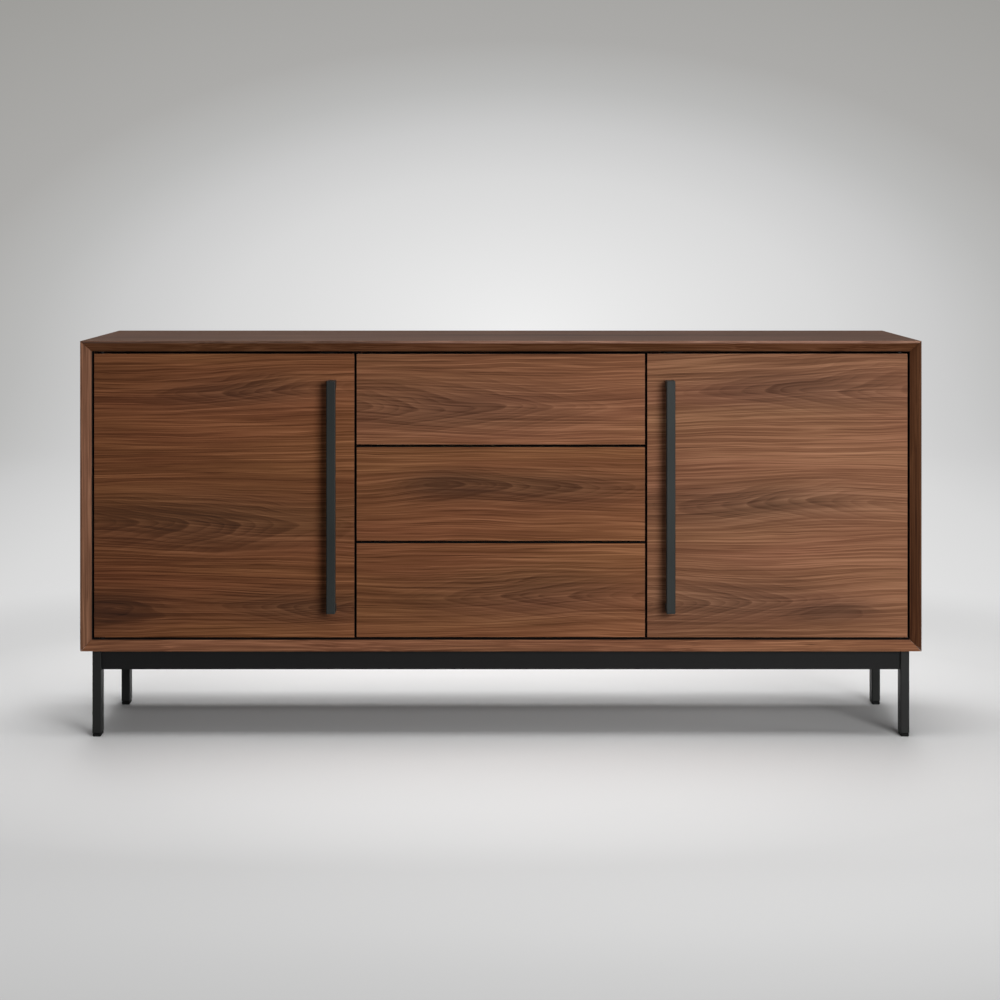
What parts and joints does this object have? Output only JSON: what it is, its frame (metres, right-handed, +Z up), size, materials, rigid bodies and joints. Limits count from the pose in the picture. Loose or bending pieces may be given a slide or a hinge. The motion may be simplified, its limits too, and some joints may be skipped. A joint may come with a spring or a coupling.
{
  "type": "office credenza",
  "caption": "Low wide walnut-veneered office credenza with bevelled mitred case edges, two pivot-hinged cupboard doors, a centre bank of push-open drawers and a black steel base.",
  "frame": {"origin": "on the floor under the middle of the credenza's overall box, handles included", "axes": "+X along the credenza's length to the right of someone facing it, +Y from the front towards the back, +Z up"},
  "size_m": [1.6, 0.472, 0.755],
  "materials": {
    "walnut_veneer": "walnut veneer on board, grain along the length, satin lacquer",
    "birch_plywood": "pale birch plywood, clear matt lacquer",
    "black_steel": "fine-textured black powder coat",
    "black_handle": "satin black coat",
    "zinc_steel": "bright zinc plate on rolled steel",
    "black_plastic": "moulded black nylon"
  },
  "bodies": {
    "carcass": {"top_panel": "walnut_veneer", "bottom_panel": "walnut_veneer", "left_side_panel": "walnut_veneer", "right_side_panel": "walnut_veneer", "left_divider": "walnut_veneer", "right_divider": "walnut_veneer", "back_panel": "walnut_veneer", "left_shelf": "walnut_veneer", "right_shelf": "walnut_veneer", "left_magnetic_catch": "black_plastic", "right_magnetic_catch": "black_plastic", "bottom_left_slide_cabinet_channel": "zinc_steel", "bottom_right_slide_cabinet_channel": "zinc_steel", "middle_left_slide_cabinet_channel": "zinc_steel", "middle_right_slide_cabinet_channel": "zinc_steel", "top_left_slide_cabinet_channel": "zinc_steel", "top_right_slide_cabinet_channel": "zinc_steel", "left_end_frame": "black_steel", "right_end_frame": "black_steel", "front_rail": "black_steel", "rear_rail": "black_steel", "front_left_glide": "black_plastic", "rear_left_glide": "black_plastic", "front_right_glide": "black_plastic", "rear_right_glide": "black_plastic"},
    "left_door": {"left_door_panel": "walnut_veneer", "left_door_handle": "black_handle", "left_door_upper_pivot": "black_handle", "left_door_lower_pivot": "black_handle"},
    "right_door": {"right_door_panel": "walnut_veneer", "right_door_handle": "black_handle", "right_door_upper_pivot": "black_handle", "right_door_lower_pivot": "black_handle"},
    "bottom_drawer": {"bottom_drawer_front": "walnut_veneer", "bottom_drawer_left_side": "birch_plywood", "bottom_drawer_right_side": "birch_plywood", "bottom_drawer_back": "birch_plywood", "bottom_drawer_bottom": "birch_plywood", "bottom_left_slide_drawer_channel": "zinc_steel", "bottom_right_slide_drawer_channel": "zinc_steel"},
    "middle_drawer": {"middle_drawer_front": "walnut_veneer", "middle_drawer_left_side": "birch_plywood", "middle_drawer_right_side": "birch_plywood", "middle_drawer_back": "birch_plywood", "middle_drawer_bottom": "birch_plywood", "middle_left_slide_drawer_channel": "zinc_steel", "middle_right_slide_drawer_channel": "zinc_steel"},
    "top_drawer": {"top_drawer_front": "walnut_veneer", "top_drawer_left_side": "birch_plywood", "top_drawer_right_side": "birch_plywood", "top_drawer_back": "birch_plywood", "top_drawer_bottom": "birch_plywood", "top_left_slide_drawer_channel": "zinc_steel", "top_right_slide_drawer_channel": "zinc_steel"},
    "bottom_slide_middles": {"bottom_left_slide_middle_channel": "zinc_steel", "bottom_right_slide_middle_channel": "zinc_steel"},
    "middle_slide_middles": {"middle_left_slide_middle_channel": "zinc_steel", "middle_right_slide_middle_channel": "zinc_steel"},
    "top_slide_middles": {"top_left_slide_middle_channel": "zinc_steel", "top_right_slide_middle_channel": "zinc_steel"}
  },
  "joints": [
    {"name": "left_door_hinge", "type": "hinge", "parent": "carcass", "child": "left_door", "pos_m": [-0.76139, -0.1925, 0.46], "axis": [0, 0, -1], "range_deg": [0, 105]},
    {"name": "right_door_hinge", "type": "hinge", "parent": "carcass", "child": "right_door", "pos_m": [0.76139, -0.1925, 0.46], "axis": [0, 0, 1], "range_deg": [0, 105]},
    {"name": "bottom_drawer_slide", "type": "slide", "parent": "carcass", "child": "bottom_drawer", "axis": [0, -1, 0], "range_m": [-0.0025, 0.4]},
    {"name": "middle_drawer_slide", "type": "slide", "parent": "carcass", "child": "middle_drawer", "axis": [0, -1, 0], "range_m": [-0.0025, 0.4]},
    {"name": "top_drawer_slide", "type": "slide", "parent": "carcass", "child": "top_drawer", "axis": [0, -1, 0], "range_m": [-0.0025, 0.4]},
    {"name": "bottom_slide_telescope", "type": "slide", "parent": "carcass", "child": "bottom_slide_middles", "axis": [0, -1, 0], "range_m": [-0.00125, 0.2]},
    {"name": "middle_slide_telescope", "type": "slide", "parent": "carcass", "child": "middle_slide_middles", "axis": [0, -1, 0], "range_m": [-0.00125, 0.2]},
    {"name": "top_slide_telescope", "type": "slide", "parent": "carcass", "child": "top_slide_middles", "axis": [0, -1, 0], "range_m": [-0.00125, 0.2]}
  ],
  "couplings": [
    {"joint": "bottom_slide_telescope", "follows": "bottom_drawer_slide", "ratio": 0.5},
    {"joint": "middle_slide_telescope", "follows": "middle_drawer_slide", "ratio": 0.5},
    {"joint": "top_slide_telescope", "follows": "top_drawer_slide", "ratio": 0.5}
  ]
}
